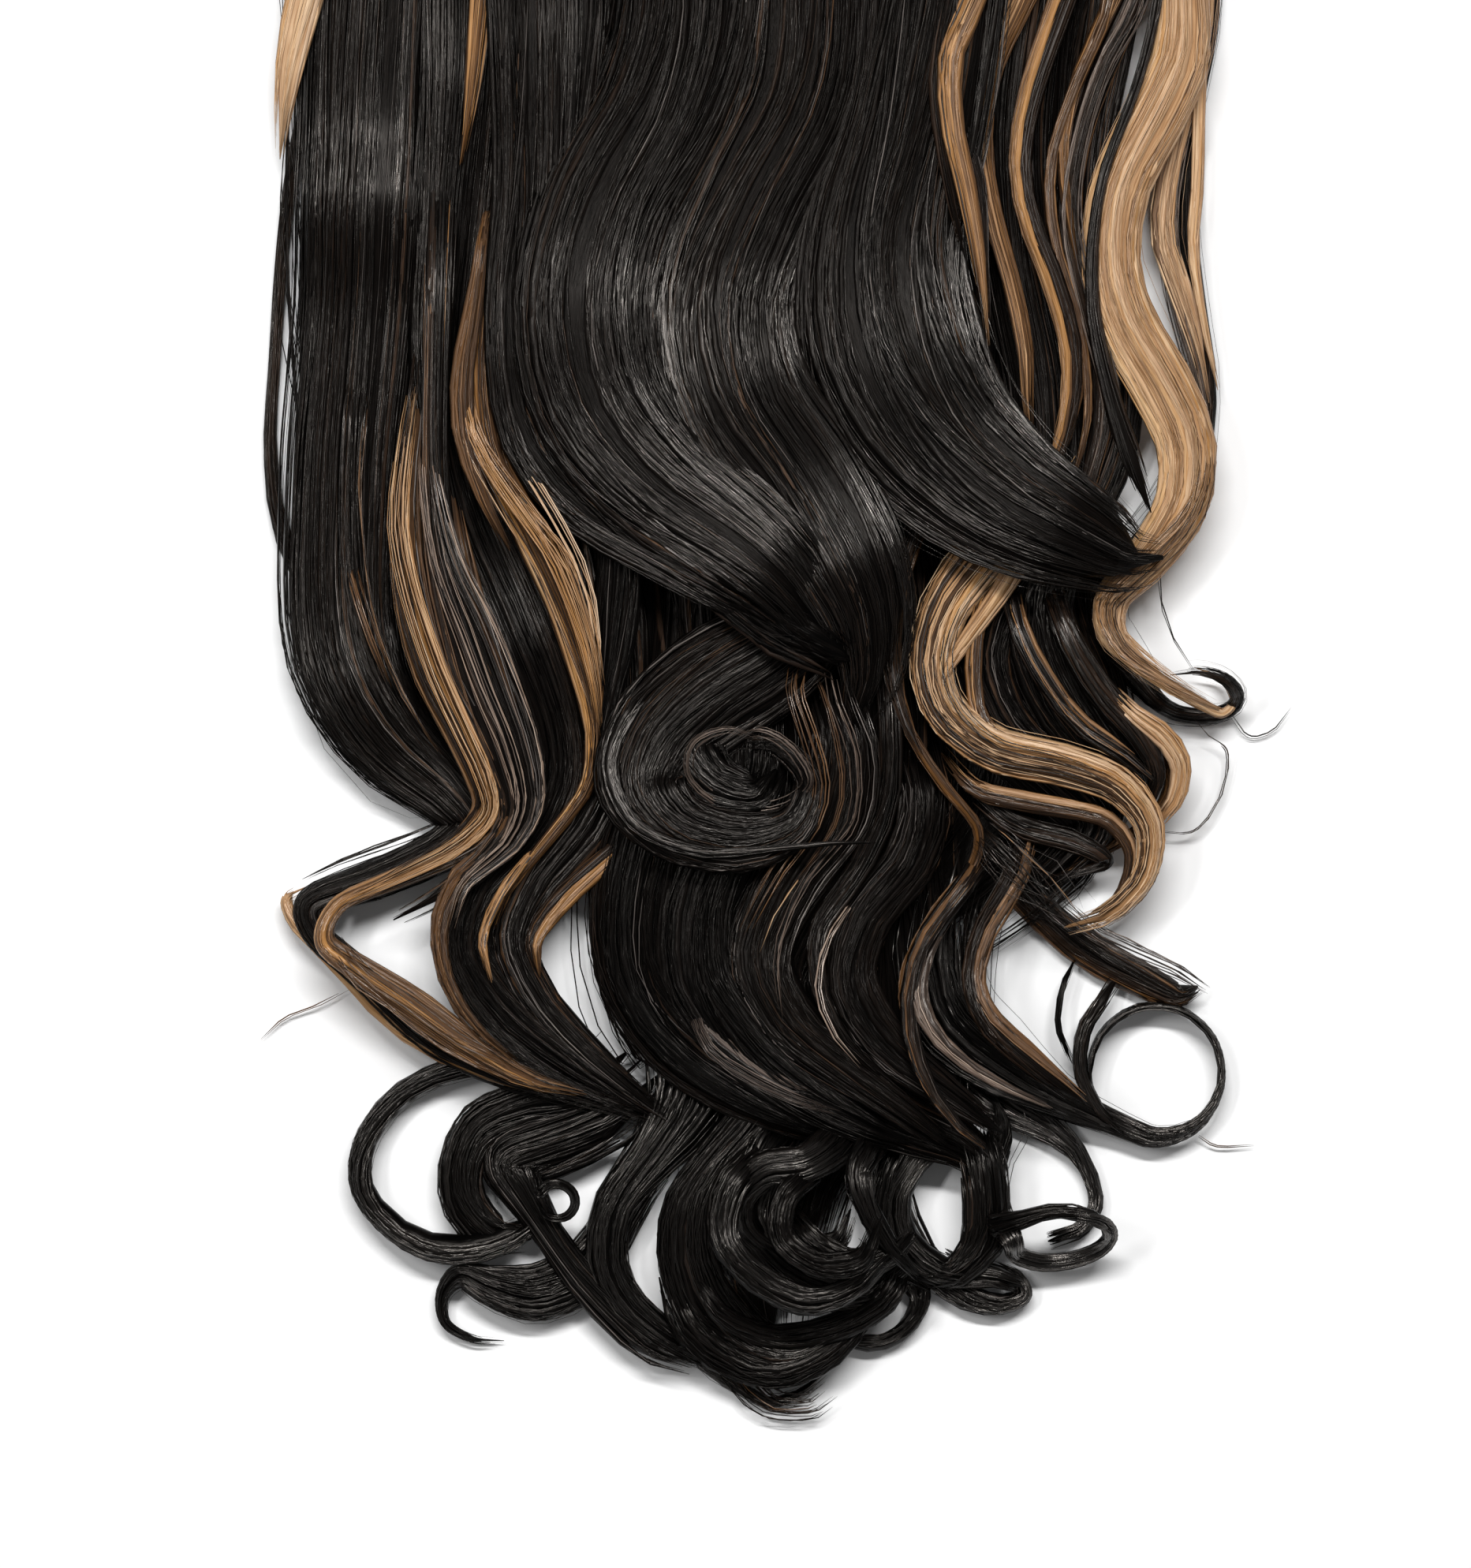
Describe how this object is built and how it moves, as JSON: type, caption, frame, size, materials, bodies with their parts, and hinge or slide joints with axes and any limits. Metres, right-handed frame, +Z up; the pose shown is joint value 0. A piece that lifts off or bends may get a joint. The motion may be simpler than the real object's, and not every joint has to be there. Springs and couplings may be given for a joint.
{
  "type": "clip-in hair extension",
  "caption": "One-piece clip-in hair extension lying flat: a straight sewn weft with snap clips under it, and long waved dark hair with caramel highlight locks ending in ringlets.",
  "frame": {"origin": "middle of the underside of the middle clip, on the surface that the extension lies on", "axes": "+X to the right along the weft as seen in the picture, +Y away from the hair, which runs towards -Y, +Z up"},
  "size_m": [0.2715, 0.5363, 0.0344],
  "materials": {
    "hair_dark": "dark brown fibre, soft sheen",
    "hair_caramel": "caramel fibre, soft sheen",
    "hair_brown": "brown fibre, soft sheen",
    "hair_pale": "pale golden fibre, soft sheen",
    "weft_tape": "woven tape, matte",
    "clip_metal": "dark satin lacquer"
  },
  "bodies": {
    "root": {"top_hair": "hair_dark", "under_hair": "hair_dark", "highlight_weft": "weft_tape", "weft_band": "weft_tape", "caramel_right_big": "hair_caramel", "caramel_right_a": "hair_caramel", "caramel_right_b": "hair_caramel", "caramel_right_c": "hair_caramel", "caramel_right_d": "hair_brown", "caramel_right_rim": "hair_pale", "caramel_s": "hair_caramel", "caramel_thin": "hair_brown", "caramel_right_lobe": "hair_caramel", "caramel_left_long": "hair_caramel", "caramel_left_outer": "hair_caramel", "caramel_left_stripes": "hair_brown", "caramel_left_tip": "hair_caramel", "caramel_left_rim": "hair_pale", "caramel_top_left": "hair_brown", "caramel_low_centre": "hair_brown", "clip_1": "clip_metal", "clip_2": "clip_metal", "clip_3": "clip_metal", "clip_4": "clip_metal", "clip_5": "clip_metal"}
  },
  "joints": []
}
